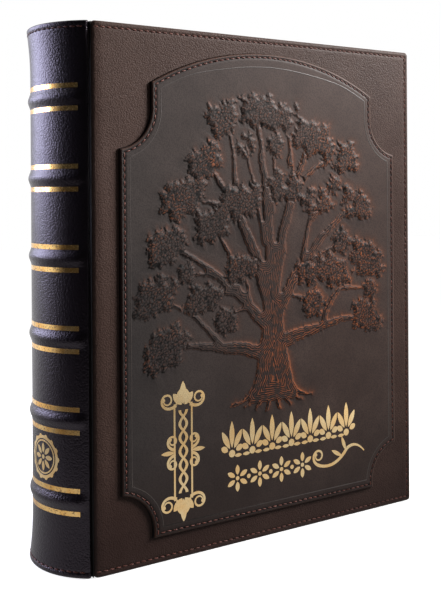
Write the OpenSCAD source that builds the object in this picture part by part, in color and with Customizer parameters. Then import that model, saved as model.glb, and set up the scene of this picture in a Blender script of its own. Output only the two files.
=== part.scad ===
// A thick book bound in full leather, standing upright on its tail edge.
// X runs from the spine to the fore edge, Y from the front cover to the back cover, Z from tail to head.
// The two covers swing on the leather joints beside the spine. All sizes are in millimetres.

/* [Book] */
// Height of the covers, from tail to head
cover_h = 320; // [310:1:400]
// Width of a cover, from its spine edge to its fore edge
cover_w = 246; // [240:1:320]
// Thickness of the closed book over both covers
book_t = 76; // [60:1:95]
// How far the covers stand out past the pages at head, tail and fore edge
square_w = 4; // [2:0.5:6]
// Depth of the hollow along the pages' fore edge
fore_edge_hollow = 12; // [4:1:16]

/* [Covers] */
// Thickness of the board inside a cover
board_t = 3.2; // [2:0.1:4.5]
// Thickness of the leather on the outside of a cover
cover_leather_t = 1.2; // [0.8:0.1:1.6]
// Thickness of the leather where it is turned in on the inside of a cover
turn_in_t = 0.6; // [0.4:0.1:1]
// Width of the leather turned in on the inside of a cover
turn_in_w = 15; // [10:1:25]
// Radius of a cover's corners, seen from the front
cover_corner_r = 2.5; // [1.5:0.5:6]
// Rounding of the edges of a cover's outer face
cover_edge_r = 1.8; // [1:0.1:2.2]
// Thickness of a fly leaf, and of a pastedown where it lies on the turned-in leather
endpaper_t = 0.3; // [0.2:0.05:0.5]
// Air between a closed cover and its fly leaf
closed_gap = 0.3; // [0.25:0.05:0.6]

/* [Joints] */
// Width of the crease between the spine leather's outer edge and a cover
joint_crease_w = 1.2; // [1:0.1:2]
// Depth of that crease's spine side below the cover's outer face
joint_crease_depth = 3.4; // [3:0.1:5]

/* [Spine] */
// How far the spine stands out past the covers between its bands
spine_bulge = 19.8; // [16:0.2:24]
// Thickness of the spine leather
spine_leather_t = 1.5; // [1:0.1:2]
// Thickness of the stiffener under the spine leather
stiffener_t = 2; // [1:0.1:3]
// Thickness of the cloth lining on the back of the pages
lining_t = 0.6; // [0.3:0.1:1]
// How far the head and the tail of the spine flare out
flare_out = 2.2; // [1:0.1:3]
// Length over which the head and the tail of the spine flare out
flare_l = 30; // [15:1:34]
// Thickness of the leather turned over the stiffener at head and tail
cap_t = 2; // [1:0.1:3]
// Rounding of the head and tail caps' outer edge
cap_r = 1.2; // [0.6:0.1:1.5]

/* [Bands] */
// Number of raised bands
band_count = 6; // [3:1:6]
// Height of the lowest band's middle above the tail
band_first = 42.9; // [42:0.1:44]
// How far the highest band's middle lies below the head
band_last_down = 43.6; // [42:0.1:44]
// Width of a band where it leaves the spine
band_w = 10; // [6:0.5:11]
// How far a band stands out
band_out = 1.5; // [1:0.1:1.8]

/* [Front panel] */
// Width of the raised panel
panel_w = 213.6; // [212:0.2:216]
// Height of the raised panel, from its bottom edge to the top of its arch
panel_h = 293.5; // [292:0.5:295]
// Height of the panel's bottom edge above the cover's tail edge
panel_z = 16; // [14:0.5:17]
// How far the panel stands out from the cover
panel_t = 2.2; // [1.6:0.1:3]
// Thickness of the panel's leather
panel_leather_t = 0.8; // [0.6:0.1:1.2]
// Radius of the panel's arched top
arch_r = 173; // [165:1:185]
// Radius of the hollow corners
notch_r = 24; // [20:1:26]
// How far the hollow corners' centres lie outside the panel's sides
notch_out = 3.2; // [0:0.2:6]
// How far the lower hollow corners' centres lie above the panel's bottom edge
notch_up = 4.5; // [0:0.5:8]
// Height of the upper hollow corners' centres above the panel's bottom edge
notch_top_up = 254.5; // [250:0.5:258]
// Rounding of the panel's outward corners
panel_corner_r = 2; // [1:0.5:3]
// Size of the rounded rim round the panel
rim_r = 1.2; // [0.6:0.1:1.5]

/* [Tree] */
// How far the trunk and limbs stand out from the panel
limb_out = 0.9; // [0.5:0.1:1.2]
// How far the leaf masses stand out from the panel
leaf_out = 1.4; // [1.3:0.1:2]
// Height of the tree's foot above the panel's bottom edge
tree_foot_up = 71; // [70:1:74]
// Height above the panel's bottom edge where the trunk divides
tree_fork_up = 144; // [138:1:148]
// Height of the crown's middle above the panel's bottom edge
crown_up = 136; // [130:1:140]
// Half the width of the crown, to the middles of its outer leaf masses
crown_half_w = 83; // [75:1:86]
// Height of the crown above its middle, to the middle of its top leaf mass
crown_rise = 122; // [110:1:126]
// Half the width of the trunk a third of the way up
trunk_half_w = 12; // [8:0.5:14]
// Size of a leaf mass
leaf_mass_r = 13.6; // [10:0.5:15]

/* [Gilding] */
// Thickness of the gold foil
foil_t = 0.12; // [0.1:0.02:0.3]
// Width of a gold line on the spine
gold_line_w = 2.8; // [1.5:0.1:3.4]
// Distance from a band's middle to the middle of its gold lines
gold_line_off = 6.6; // [6.5:0.1:8]
// How far round the spine the gold lines stop short of the leather's edge
gold_line_inset = 6; // [3:0.5:10]
// Bare leather between the rosette on the spine and the gold lines beside it
rosette_clear = 1.9; // [1:0.1:4]
// Angle of the rosette round the spine, from its middle towards the front cover
rosette_turn = 11; // [0:1:15]
// How far the upright ornament's frame stays below the height of the crown's middle
staff_below_crown = 58; // [56:1:66]
// Width of the upright ornament's frame
staff_w = 12; // [9:0.5:14]
// Height of the upper frieze's palmettes
frieze_h = 21; // [16:0.5:22]
// Number of palmettes in the upper frieze
frieze_count = 7; // [5:1:7]

/* [Hidden] */

FRONT = -1;
BACK = 1;
half_t = book_t / 2;

// Levels inside a cover, as distances from the middle of the book's thickness
board_out_y = half_t - cover_leather_t;
board_in_y = board_out_y - board_t;
turn_in_y = board_in_y - turn_in_t;
pastedown_y = turn_in_y - endpaper_t;
flyleaf_y = pastedown_y - closed_gap;
block_y = flyleaf_y - endpaper_t;

// The spine leather is an arc through the crease's spine side and the spine's crown
spine_chord = half_t - joint_crease_depth;
spine_sagitta = spine_bulge - joint_crease_w;
spine_r = (pow(spine_chord, 2) + pow(spine_sagitta, 2)) / (2 * spine_sagitta);
spine_cx = spine_r - spine_bulge;
spine_a = asin(spine_chord / spine_r);
leather_in_r = spine_r - spine_leather_t;
lining_out_r = leather_in_r - stiffener_t;
block_r = lining_out_r - lining_t;
lining_a = asin(block_y / block_r) - 2;
stiffener_a = spine_a - 6;
joint_clear = 0.35;

// Pages
block_x1 = cover_w - square_w;
block_z0 = square_w;
block_z1 = cover_h - square_w;
block_x0 = spine_cx - sqrt(pow(block_r, 2) - pow(block_y, 2));
headband_w = 2.4;
headband_foot = headband_w / 2 + 0.1;

// Bands: an arc of leather over a narrower arc of the strip below it
band_pitch = (cover_h - band_last_down - band_first) / (band_count - 1);
band_arc_r = (pow(band_w / 2, 2) + pow(band_out, 2)) / (2 * band_out);
band_arc_cr = spine_r + band_out - band_arc_r;
strip_arc_r = band_arc_r - spine_leather_t;
strip_a = spine_a - 4;
flare_arc_r = (pow(flare_l, 2) + pow(flare_out, 2)) / (2 * flare_out);

// Panel
panel_cx = cover_w / 2;
panel_z1 = panel_z + panel_h;
panel_face_y = half_t + panel_t;
former_t = panel_t - panel_leather_t;
rim_steps = 3;

// Tree
tree_x = panel_cx + 1;
tree_foot_z = panel_z + tree_foot_up;
tree_fork_z = panel_z + tree_fork_up;
crown_z = panel_z + crown_up;
sink = 0.2;

// The rosette fills the field between the two lowest bands' gold lines
rosette_r = band_pitch / 2 - gold_line_off - gold_line_w / 2 - rosette_clear;

// Gilding on the panel, placed from the panel's left side and bottom edge
join = 0.02;
staff_in = 41;
staff_up = 20;
frieze_in = 76;
frieze_up = 42;
frieze_pitch = 15.4;
small_frieze_in = 80;
small_frieze_up = 26;
small_frieze_pitch = 17;
small_frieze_count = 4;
small_flower_r = 8.4;
scroll_in = 150;
scroll_up = 25;
scroll_l = 38;
staff_h = crown_up - staff_below_crown - staff_up;
staff_x = panel_cx - panel_w / 2 + staff_in;
staff_z = panel_z + staff_up;
frieze_x = panel_cx - panel_w / 2 + frieze_in;
frieze_z = panel_z + frieze_up;

// The book's own frame, moved so that the origin is below the middle of the whole book
shift_x = (spine_bulge + flare_out - cover_w) / 2;
shift_y = (panel_t + leaf_out) / 2;

module place() {
    translate([shift_x, shift_y, 0]) children();
}

// A slab parallel to the covers, from one distance from the book's middle to a larger one
module slab(side, y_in, y_out) {
    translate([0, side == FRONT ? -y_in : y_out, 0])
        rotate([90, 0, 0])
            linear_extrude(y_out - y_in) children();
}

// An outline turned about the spine's centre, over an angle to each side of its middle
module round_spine(half_angle) {
    translate([spine_cx, 0, 0])
        rotate_extrude(angle = 2 * half_angle, start = 180 - half_angle, $fn = 180) children();
}

module rounded_plate(x0, z0, x1, z1, r) {
    translate([x0 + r, z0 + r])
        offset(r = r, $fn = 32) square([x1 - x0 - 2 * r, z1 - z0 - 2 * r]);
}

function band_z(i) = band_first + i * band_pitch;

// Pages and endpapers

module text_block_outline() {
    hollow_r = (pow(block_y, 2) + pow(fore_edge_hollow, 2)) / (2 * fore_edge_hollow);
    difference() {
        union() {
            intersection() {
                translate([spine_cx, 0]) circle(block_r, $fn = 180);
                translate([-spine_bulge, -block_y]) square([spine_bulge + spine_cx, 2 * block_y]);
            }
            translate([spine_cx - 1, -block_y]) square([block_x1 - spine_cx + 1, 2 * block_y]);
        }
        translate([block_x1 + hollow_r - fore_edge_hollow, 0]) circle(hollow_r, $fn = 180);
    }
}

module text_block() {
    color("ivory") place()
        translate([0, 0, block_z0]) linear_extrude(block_z1 - block_z0) text_block_outline();
}

module flyleaf(side) {
    color("linen") place()
        slab(side, block_y, flyleaf_y)
            translate([block_x0, block_z0]) square([block_x1 - block_x0, block_z1 - block_z0]);
}

module spine_lining() {
    lining_over = headband_foot + headband_w / 2;
    color("gainsboro") place()
        round_spine(lining_a)
            translate([block_r, block_z0 - lining_over])
                square([lining_t, block_z1 - block_z0 + 2 * lining_over]);
}

// The outline of a headband: a flat foot on the pages' edge and a round top
module headband_outline() {
    translate([-headband_w, 0]) square([headband_w, headband_foot]);
    translate([-headband_w / 2, headband_foot]) circle(headband_w / 2, $fn = 32);
}

module headband() {
    color("darkred") place()
        round_spine(lining_a) translate([block_r, block_z1]) headband_outline();
}

module tailband() {
    color("darkred") place()
        round_spine(lining_a) translate([block_r, block_z0]) mirror([0, 1]) headband_outline();
}

// Spine

module spine_stiffener() {
    color("tan") place()
        round_spine(stiffener_a)
            translate([lining_out_r, cap_t]) square([stiffener_t, cover_h - 2 * cap_t]);
}

module raised_band_strip(i) {
    if (i < band_count)
        round_spine(strip_a)
            intersection() {
                translate([band_arc_cr, band_z(i)]) circle(strip_arc_r, $fn = 64);
                translate([leather_in_r, band_z(i) - band_w]) square([band_w, 2 * band_w]);
            }
}

module raised_band(i) {
    color("peru") place() raised_band_strip(i);
}

// The leather's flare at the tail: the space between the spine's arc and a wide arc that leaves it
module flare_outline() {
    difference() {
        translate([spine_r - spine_leather_t / 2, 0])
            square([flare_out + spine_leather_t / 2, flare_l]);
        translate([spine_r + flare_arc_r, flare_l]) circle(flare_arc_r, $fn = 720);
    }
}

// What a rounded corner takes away at the tail cap's outer edge
module cap_corner() {
    edge_r = spine_r + flare_out;
    translate([edge_r - cap_r, 0])
        difference() {
            square([cap_r + 1, cap_r]);
            translate([0, cap_r]) circle(cap_r, $fn = 32);
        }
}

module at_both_ends() {
    children();
    translate([0, cover_h]) mirror([0, 1]) children();
}

module spine_leather_outline() {
    difference() {
        union() {
            difference() {
                translate([lining_out_r, 0]) square([stiffener_t + spine_leather_t, cover_h]);
                translate([lining_out_r - 1, cap_t]) square([stiffener_t + 1, cover_h - 2 * cap_t]);
            }
            for (i = [0 : band_count - 1])
                intersection() {
                    translate([band_arc_cr, band_z(i)]) circle(band_arc_r, $fn = 64);
                    translate([leather_in_r, band_z(i) - band_w]) square([band_w, 2 * band_w]);
                }
            at_both_ends() flare_outline();
        }
        at_both_ends() cap_corner();
    }
}

module spine_leather() {
    color("#3a2f30") place()
        difference() {
            round_spine(spine_a) spine_leather_outline();
            for (i = [0 : band_count - 1]) raised_band_strip(i);
            translate([-joint_clear, -book_t, -1]) cube([spine_cx, 2 * book_t, cover_h + 2]);
        }
}

module spine_gold_lines() {
    gold_a = spine_a - gold_line_inset / spine_r * 180 / PI;
    color("goldenrod") place()
        for (i = [0 : band_count - 1], m = [-1, 1])
            round_spine(gold_a)
                translate([spine_r, band_z(i) + m * gold_line_off - gold_line_w / 2])
                    square([foil_t, gold_line_w]);
}

// A pointed leaf shape of two arcs, standing on its lower point
module petal(l, w) {
    arc_r = (pow(l / 2, 2) + pow(w / 2, 2)) / w;
    intersection_for (m = [-1, 1])
        translate([m * (arc_r - w / 2), l / 2]) circle(arc_r, $fn = 48);
}

module ring(r_out, r_in) {
    difference() {
        circle(r_out, $fn = 60);
        circle(r_in, $fn = 60);
    }
}

// A scalloped ring round a ring of petals
module rosette_outline(r) {
    scallops = 14;
    petals = 8;
    offset(delta = join) {
        difference() {
            union() {
                circle(r * 0.93, $fn = 60);
                for (k = [0 : scallops - 1])
                    rotate(k * 360 / scallops) translate([r * 0.88, 0]) circle(r * 0.12, $fn = 16);
            }
            circle(r * 0.8, $fn = 60);
        }
        ring(r * 0.74, r * 0.68);
        for (k = [0 : petals - 1])
            rotate(k * 360 / petals) translate([0, r * 0.17]) petal(r * 0.45, r * 0.2);
        circle(r * 0.1, $fn = 24);
    }
}

module spine_rosette() {
    rosette_z = (band_z(0) + band_z(1)) / 2;
    color("goldenrod") place()
        intersection() {
            round_spine(spine_a)
                translate([spine_r, rosette_z - 1.2 * rosette_r]) square([foil_t, 2.4 * rosette_r]);
            translate([spine_cx, 0, 0])
                rotate([0, 0, rosette_turn])
                    translate([0, 0, rosette_z])
                        rotate([90, 0, -90])
                            linear_extrude(spine_r + 2) rosette_outline(rosette_r);
        }
}

// Covers

module cover_board(side) {
    color("burlywood") place()
        slab(side, board_in_y, board_out_y)
            rounded_plate(cover_leather_t, cover_leather_t, cover_w - cover_leather_t,
                          cover_h - cover_leather_t, cover_corner_r - cover_leather_t);
}

// A cover's outer shape, with its outer face's edges rounded in steps
module cover_shape(side) {
    edge_steps = 4;
    hull()
        for (k = [0 : edge_steps]) {
            a = 90 * k / edge_steps;
            inset = cover_edge_r * (1 - cos(a));
            slab(side, turn_in_y, half_t - cover_edge_r * (1 - sin(a)))
                rounded_plate(inset, inset, cover_w - inset, cover_h - inset, cover_corner_r);
        }
}

module turn_in_window(side) {
    slab(side, turn_in_y - 1, board_in_y + 0.5)
        translate([turn_in_w, turn_in_w])
            square([cover_w - 2 * turn_in_w, cover_h - 2 * turn_in_w]);
}

module cover_leather(side) {
    color("#4a3c38") place()
        difference() {
            cover_shape(side);
            slab(side, board_in_y, board_out_y)
                rounded_plate(cover_leather_t, cover_leather_t, cover_w - cover_leather_t,
                              cover_h - cover_leather_t, cover_corner_r - cover_leather_t);
            turn_in_window(side);
        }
}

// A pastedown lies on the turned-in leather, and is pressed down to the board inside it
module pastedown(side) {
    edge = joint_clear + endpaper_t;
    color("linen") place()
        union() {
            slab(side, pastedown_y, turn_in_y)
                translate([edge, square_w]) square([block_x1 - edge, cover_h - 2 * square_w]);
            slab(side, pastedown_y, board_in_y)
                translate([turn_in_w, turn_in_w])
                    square([cover_w - 2 * turn_in_w, cover_h - 2 * turn_in_w]);
        }
}

// Front panel

// The panel's outline: a rectangle with an arched top and four hollow corners
module panel_outline(inset) {
    offset(delta = -inset) offset(r = panel_corner_r, $fn = 20) offset(delta = -panel_corner_r)
        difference() {
            intersection() {
                translate([panel_cx - panel_w / 2, panel_z]) square([panel_w, panel_h]);
                translate([panel_cx, panel_z1 - arch_r]) circle(arch_r, $fn = 144);
            }
            for (m = [-1, 1]) {
                notch_x = panel_cx + m * (panel_w / 2 + notch_out);
                translate([notch_x, panel_z + notch_up]) circle(notch_r, $fn = 60);
                translate([notch_x, panel_z + notch_top_up]) circle(notch_r, $fn = 60);
                translate([notch_x - notch_r, panel_z + notch_top_up])
                    square([2 * notch_r, panel_h - notch_top_up]);
            }
        }
}

module panel_former_slab() {
    slab(FRONT, half_t, half_t + former_t) panel_outline(panel_leather_t);
}

module front_panel_former() {
    color("burlywood") place() panel_former_slab();
}

// The panel's leather before embossing: its rim is rounded in steps
module panel_skin() {
    slab(FRONT, half_t, panel_face_y - rim_r) panel_outline(0);
    for (k = [1 : rim_steps]) {
        a_mid = 90 * (k - 0.5) / rim_steps;
        y_top = panel_face_y - rim_r * (1 - sin(90 * k / rim_steps));
        slab(FRONT, half_t, y_top) panel_outline(rim_r * (1 - cos(a_mid)));
    }
}

function bezier(a, b, c, t) = pow(1 - t, 2) * a + 2 * t * (1 - t) * b + t * t * c;
function bezier_dir(a, b, c, t) = 2 * (1 - t) * (b - a) + 2 * t * (c - b);
function unit(v) = v / norm(v);
function left_of(v) = [-v[1], v[0]];

// A curved strip from a to c, bent towards b, that tapers from width w0 to width w1
module limb(a, b, c, w0, w1, steps = 8) {
    sides = [for (t = [0 : 1 / steps : 1.001])
        let (p = bezier(a, b, c, t),
             n = left_of(unit(bezier_dir(a, b, c, t))) * (w0 + (w1 - w0) * t) / 2)
        [p + n, p - n]];
    polygon(concat([for (s = sides) s[0]], [for (i = [steps : -1 : 0]) sides[i][1]]));
}

// The bend of a limb that leaves upwards and turns outwards
function limb_bend(a, c) = [a[0] + 0.4 * (c[0] - a[0]), a[1] + 0.62 * (c[1] - a[1]) + 5];

// A point of the crown, by its turn from straight up and its share of the way out from the crown's middle
function crown_point(turn, share) =
    [tree_x + crown_half_w * share * sin(turn), crown_z + crown_rise * share * cos(turn)];

// The main limbs from left to right: the turn of their ends, and how far up the trunk they leave it
LIMB_TURN = [-102, -72, -40, -8, 25, 60, 98];
LIMB_LEAVE = [0.40, 0.56, 0.78, 1, 0.92, 0.68, 0.46];
limb_count = len(LIMB_TURN);
function limb_start(i) = [tree_x, tree_foot_z + LIMB_LEAVE[i] * (tree_fork_z - tree_foot_z)];
function limb_end(i) = crown_point(LIMB_TURN[i], 0.97 + 0.03 * sin(150 * i));
function limb_point(i, t) =
    bezier(limb_start(i), limb_bend(limb_start(i), limb_end(i)), limb_end(i), t);

// Between each two limbs a leaf mass stands on the crown's edge, and a second one farther in
function gap_turn(i) = (LIMB_TURN[i] + LIMB_TURN[i + 1]) / 2;
function outer_mass(i) = crown_point(gap_turn(i), 1 + 0.04 * sin(200 * i + 60));
function inner_mass(i) = crown_point(gap_turn(i) + 4 * sin(140 * i), 0.63 + 0.05 * sin(110 * i));

// Small masses nearer to the crown's middle: turn, share of the way out, and the limb that bears each
MIDDLE_MASSES = [[-60, 0.34, 1], [10, 0.36, 4], [68, 0.36, 5]];

// The trunk narrows upwards and spreads at its foot
module trunk() {
    steps = 12;
    h = tree_fork_z - tree_foot_z;
    shares = [for (k = [0 : steps]) k / steps];
    widths = [for (t = shares) trunk_half_w * (1.1 - 0.5 * t + 0.6 * pow(1 - t, 4))];
    polygon(concat([for (k = [0 : steps]) [tree_x - widths[k], tree_foot_z + h * shares[k]]],
                   [for (k = [steps : -1 : 0]) [tree_x + widths[k], tree_foot_z + h * shares[k]]]));
}

// Roots spread to both sides of the foot, the outer ones lower and longer
module roots() {
    w = trunk_half_w / 1.6;
    for (m = [-1, 1], k = [0 : 3])
        limb([tree_x + m * w * (0.3 + 0.5 * k), tree_foot_z + 1.4 * w],
             [tree_x + m * w * (0.4 + 0.8 * k), tree_foot_z + 0.1 * w],
             [tree_x + m * w * (0.7 + 1.2 * k), tree_foot_z + w * (0.35 * k - 0.9)], w * (1 - 0.13 * k), 1.2);
}

module limbs() {
    w = trunk_half_w;
    trunk();
    roots();
    for (i = [0 : limb_count - 1])
        limb(limb_start(i), limb_bend(limb_start(i), limb_end(i)), limb_end(i), 0.95 * w, 0.28 * w);
    for (i = [0 : limb_count - 2]) {
        a = limb_point(i + i % 2, 0.55);
        b = limb_point(i + 1 - i % 2, 0.38);
        limb(a, limb_bend(a, outer_mass(i)), outer_mass(i), 0.5 * w, 0.25 * w);
        limb(b, limb_bend(b, inner_mass(i)), inner_mass(i), 0.48 * w, 0.25 * w);
    }
    for (mass = MIDDLE_MASSES) {
        a = limb_point(mass[2], 0.25);
        c = crown_point(mass[0], mass[1]);
        limb(a, limb_bend(a, c), c, 0.42 * w, 0.25 * w);
    }
}

// A leaf mass: a middle with uneven lobes round it, wider than it is high, drooping to one side
module leaf_mass(centre, r, seed, droop) {
    lobes = 10;
    translate(centre)
        rotate(droop) {
            for (m = [-1, 1])
                translate([m * r * 0.32, m * r * 0.06 * sin(seed)]) circle(r * 0.68, $fn = 14);
            for (k = [0 : lobes - 1]) {
                a = seed + (k + 0.3 * sin(97 * k + seed)) * 360 / lobes;
                lobe_r = r * (0.25 + 0.08 * sin(151 * k + 3 * seed));
                reach = 0.96 + 0.1 * sin(83 * k + 2 * seed);
                translate([r * 1.02 * reach * cos(a), r * 0.72 * reach * sin(a)]) circle(lobe_r, $fn = 8);
            }
        }
}

module drooping_mass(centre, size, seed) {
    droop = (tree_x - centre[0]) / crown_half_w * 24 + 10 * sin(149 * seed);
    leaf_mass(centre, leaf_mass_r * size * (1 + 0.08 * sin(97 * seed)), 37 * seed, droop);
}

module leaf_masses() {
    offset(delta = 2 * join) {
        for (i = [0 : limb_count - 1]) drooping_mass(limb_end(i), 1, i + 1);
        for (i = [0 : limb_count - 2]) {
            drooping_mass(outer_mass(i), 1, i + 11);
            drooping_mass(inner_mass(i), 0.95, i + 21);
        }
        for (k = [0 : len(MIDDLE_MASSES) - 1])
            drooping_mass(crown_point(MIDDLE_MASSES[k][0], MIDDLE_MASSES[k][1]), 0.8, k + 31);
    }
}

module front_panel_leather() {
    color("#46413f") place()
        difference() {
            union() {
                panel_skin();
                slab(FRONT, panel_face_y - sink, panel_face_y + limb_out)
                    offset(delta = 2 * join) limbs();
                slab(FRONT, panel_face_y - sink, panel_face_y + leaf_out) leaf_masses();
            }
            panel_former_slab();
        }
}

// A wavy strip up the staff, for its braid
module braid_strand(h, swing, waves, w, side) {
    steps = 12 * waves;
    spine = [for (k = [0 : steps]) [side * swing * cos(180 * waves * k / steps), h * k / steps]];
    polygon(concat([for (p = spine) p - [w / 2, 0]],
                   [for (k = [steps : -1 : 0]) spine[k] + [w / 2, 0]]));
}

// A strip that leaves along X and curls up tighter and tighter, ending in a dot
module volute(l, turn, w) {
    steps = 26;
    function heading(k) = turn * pow(k / steps, 1.5);
    line = [for (k = 0, p = [0, 0]; k <= steps;
                 p = p + l / steps * [cos(heading(k)), sin(heading(k))], k = k + 1) p];
    half_w = [for (k = [0 : steps]) w * (0.5 - 0.28 * k / steps)];
    side = [for (k = [0 : steps]) half_w[k] * [-sin(heading(k)), cos(heading(k))]];
    polygon(concat([for (k = [0 : steps]) line[k] + side[k]],
                   [for (k = [steps : -1 : 0]) line[k] - side[k]]));
    translate(line[steps]) circle(w * 0.55, $fn = 16);
}

// The upright ornament: a braid in a frame, with volutes and petals at its ends and its middle
module staff_outline() {
    bar = 0.1 * staff_w;
    braid_h = 0.86 * staff_h;
    side_x = staff_w / 2;
    line_w = 0.16 * staff_w;
    translate([staff_x, staff_z + staff_h / 2]) {
        translate([0, -braid_h / 2])
            for (m = [-1, 1]) braid_strand(braid_h, staff_w / 5, 6, line_w, m);
        for (m = [0, 1])
            mirror([m, 0]) {
                translate([side_x - bar / 2, -staff_h / 2]) square([bar, staff_h]);
                for (u = [0, 1])
                    mirror([0, u]) {
                        translate([side_x, 0.026 * staff_h]) rotate(20) volute(0.42 * staff_h, 480, line_w);
                        translate([side_x - bar, 0.483 * staff_h]) rotate(-25)
                            volute(0.55 * staff_h, 500, line_w);
                        translate([side_x - bar, 0.483 * staff_h]) rotate(15)
                            petal(0.17 * staff_h, 0.25 * staff_w);
                    }
                translate([side_x, 0]) rotate(-90) petal(0.16 * staff_h, 0.22 * staff_w);
            }
        for (u = [0, 1])
            mirror([0, u])
                translate([0, 0.466 * staff_h])
                    for (turn = [-40, 0, 40])
                        rotate(turn) translate([0, 0.12 * staff_w])
                            petal(staff_h * (0.24 - 0.002 * abs(turn)), 0.37 * staff_w);
    }
}

// A fan of petals over a small disc, as wide as it may be without touching the next
module palmette(h) {
    for (fan = [[0, 0.8], [27, 0.6], [-27, 0.6], [60, 0.26], [-60, 0.26]])
        rotate(fan[0]) translate([0, h * 0.17]) petal(h * fan[1], h * 0.18);
    circle(h * 0.11, $fn = 16);
}

module frieze_outline() {
    translate([frieze_x, frieze_z]) {
        for (k = [0 : frieze_count - 1])
            translate([k * frieze_pitch, 0]) palmette(frieze_h);
        for (k = [0 : frieze_count - 2])
            translate([(k + 0.5) * frieze_pitch, -0.1 * frieze_pitch]) petal_pair(frieze_pitch * 0.72);
    }
}

// Two petals lying end to end
module petal_pair(l) {
    for (m = [-1, 1]) rotate(m * 90) translate([0, 0.03 * l]) petal(l / 2, l * 0.2);
}

module small_flower(r) {
    for (k = [0 : 5]) rotate(60 * k) translate([0, r * 0.26]) petal(r * 0.74, r * 0.36);
    circle(r * 0.16, $fn = 16);
}

module small_frieze_outline() {
    translate([panel_cx - panel_w / 2 + small_frieze_in, panel_z + small_frieze_up]) {
        for (k = [0 : small_frieze_count - 1])
            translate([k * small_frieze_pitch, 0]) small_flower(small_flower_r);
        for (k = [0 : small_frieze_count - 2])
            translate([(k + 0.5) * small_frieze_pitch, 0]) circle(small_flower_r / 6, $fn = 12);
    }
}

// A running scroll that closes the lower frieze: one end curls back, the other swings up and out
module tail_scroll_outline() {
    l = scroll_l;
    wide = 0.055 * l;
    curl = [-0.1 * l, -0.06 * l];
    crest = [0.5 * l, 0.16 * l];
    translate([panel_cx - panel_w / 2 + scroll_in, panel_z + scroll_up]) {
        translate(curl) rotate(160) volute(0.8 * l, -470, wide);
        limb(curl, [0.24 * l, -0.16 * l], crest, 0.9 * wide, 1.1 * wide);
        limb(crest, [0.7 * l, 0.28 * l], [0.9 * l, 0.06 * l], 1.1 * wide, 0.4 * wide);
        translate(crest - [0.03 * l, 0.03 * l]) rotate(20) petal(0.27 * l, 0.07 * l);
        translate(crest - [0.12 * l, 0.12 * l]) rotate(60) petal(0.27 * l, 0.07 * l);
    }
}

module front_gilding() {
    color("goldenrod") place()
        slab(FRONT, panel_face_y, panel_face_y + foil_t)
            offset(delta = join) {
                staff_outline();
                frieze_outline();
                small_frieze_outline();
                tail_scroll_outline();
            }
}

text_block();
flyleaf(FRONT);  // front_flyleaf
flyleaf(BACK);  // back_flyleaf
spine_lining();
headband();
tailband();
spine_stiffener();
raised_band(0);  // raised_band_1
raised_band(1);  // raised_band_2
raised_band(2);  // raised_band_3
raised_band(3);  // raised_band_4
raised_band(4);  // raised_band_5
raised_band(5);  // raised_band_6
spine_leather();
spine_gold_lines();
spine_rosette();
cover_board(FRONT);  // front_board
cover_leather(FRONT);  // front_cover_leather
pastedown(FRONT);  // front_pastedown
front_panel_former();
front_panel_leather();
front_gilding();
cover_board(BACK);  // back_board
cover_leather(BACK);  // back_cover_leather
pastedown(BACK);  // back_pastedown
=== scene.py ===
"""The look of the leather-bound book: its leathers, stitches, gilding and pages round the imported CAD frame.

Shapes are in millimetres until mesh_object() turns them into metres. Places that a material
reads, the camera and the lights are in metres. A level is a height over a cover, counted outwards from the
middle of the book's thickness.
"""

import math

import bpy
import numpy as np
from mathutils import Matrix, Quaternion, Vector
from mathutils.bvhtree import BVHTree

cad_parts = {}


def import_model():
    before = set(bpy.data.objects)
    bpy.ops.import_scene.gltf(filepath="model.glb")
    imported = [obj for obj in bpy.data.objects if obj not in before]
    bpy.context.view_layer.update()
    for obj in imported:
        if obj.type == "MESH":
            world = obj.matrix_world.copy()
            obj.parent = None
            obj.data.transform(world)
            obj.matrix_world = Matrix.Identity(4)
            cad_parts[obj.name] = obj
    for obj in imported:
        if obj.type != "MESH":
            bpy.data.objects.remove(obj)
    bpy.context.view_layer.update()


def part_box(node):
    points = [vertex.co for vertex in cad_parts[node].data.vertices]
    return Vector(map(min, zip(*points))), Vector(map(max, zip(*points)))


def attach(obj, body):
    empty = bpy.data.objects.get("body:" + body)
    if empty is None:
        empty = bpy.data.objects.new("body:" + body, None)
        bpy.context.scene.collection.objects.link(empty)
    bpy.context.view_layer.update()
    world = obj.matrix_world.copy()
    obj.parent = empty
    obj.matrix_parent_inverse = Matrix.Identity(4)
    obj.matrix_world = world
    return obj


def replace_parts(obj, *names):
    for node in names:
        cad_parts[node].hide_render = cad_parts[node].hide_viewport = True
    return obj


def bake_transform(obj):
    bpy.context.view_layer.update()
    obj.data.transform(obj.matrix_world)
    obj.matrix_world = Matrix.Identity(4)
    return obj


MM = 0.001
WHITE = (1.0, 1.0, 1.0)
FRONT = -1
BACK = 1
SIDES = ((FRONT, "front"), (BACK, "back"))

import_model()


def box_mm(node):
    low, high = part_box(node)
    return np.array(low) / MM, np.array(high) / MM


# Sizes read from the frame
FRONT_LOW, FRONT_HIGH = box_mm("front_cover_leather")
BACK_HIGH = box_mm("back_cover_leather")[1]
BLOCK_LOW, BLOCK_HIGH = box_mm("text_block")
PANEL_LOW, PANEL_HIGH = box_mm("front_panel_leather")
COVER_X = FRONT_LOW[0]
COVER_W = FRONT_HIGH[0] - FRONT_LOW[0]
COVER_H = FRONT_HIGH[2]
MID_Y = (FRONT_LOW[1] + BACK_HIGH[1]) / 2
HALF_T = (BACK_HIGH[1] - FRONT_LOW[1]) / 2
TURN_IN_LEVEL = MID_Y - FRONT_HIGH[1]
BLOCK_HALF_T = (BLOCK_HIGH[1] - BLOCK_LOW[1]) / 2
BLOCK_FORE = BLOCK_HIGH[0]
PANEL_CX = (PANEL_LOW[0] + PANEL_HIGH[0]) / 2
PANEL_W = PANEL_HIGH[0] - PANEL_LOW[0]
PANEL_Z0 = PANEL_LOW[2]
PANEL_Z1 = PANEL_HIGH[2]

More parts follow.
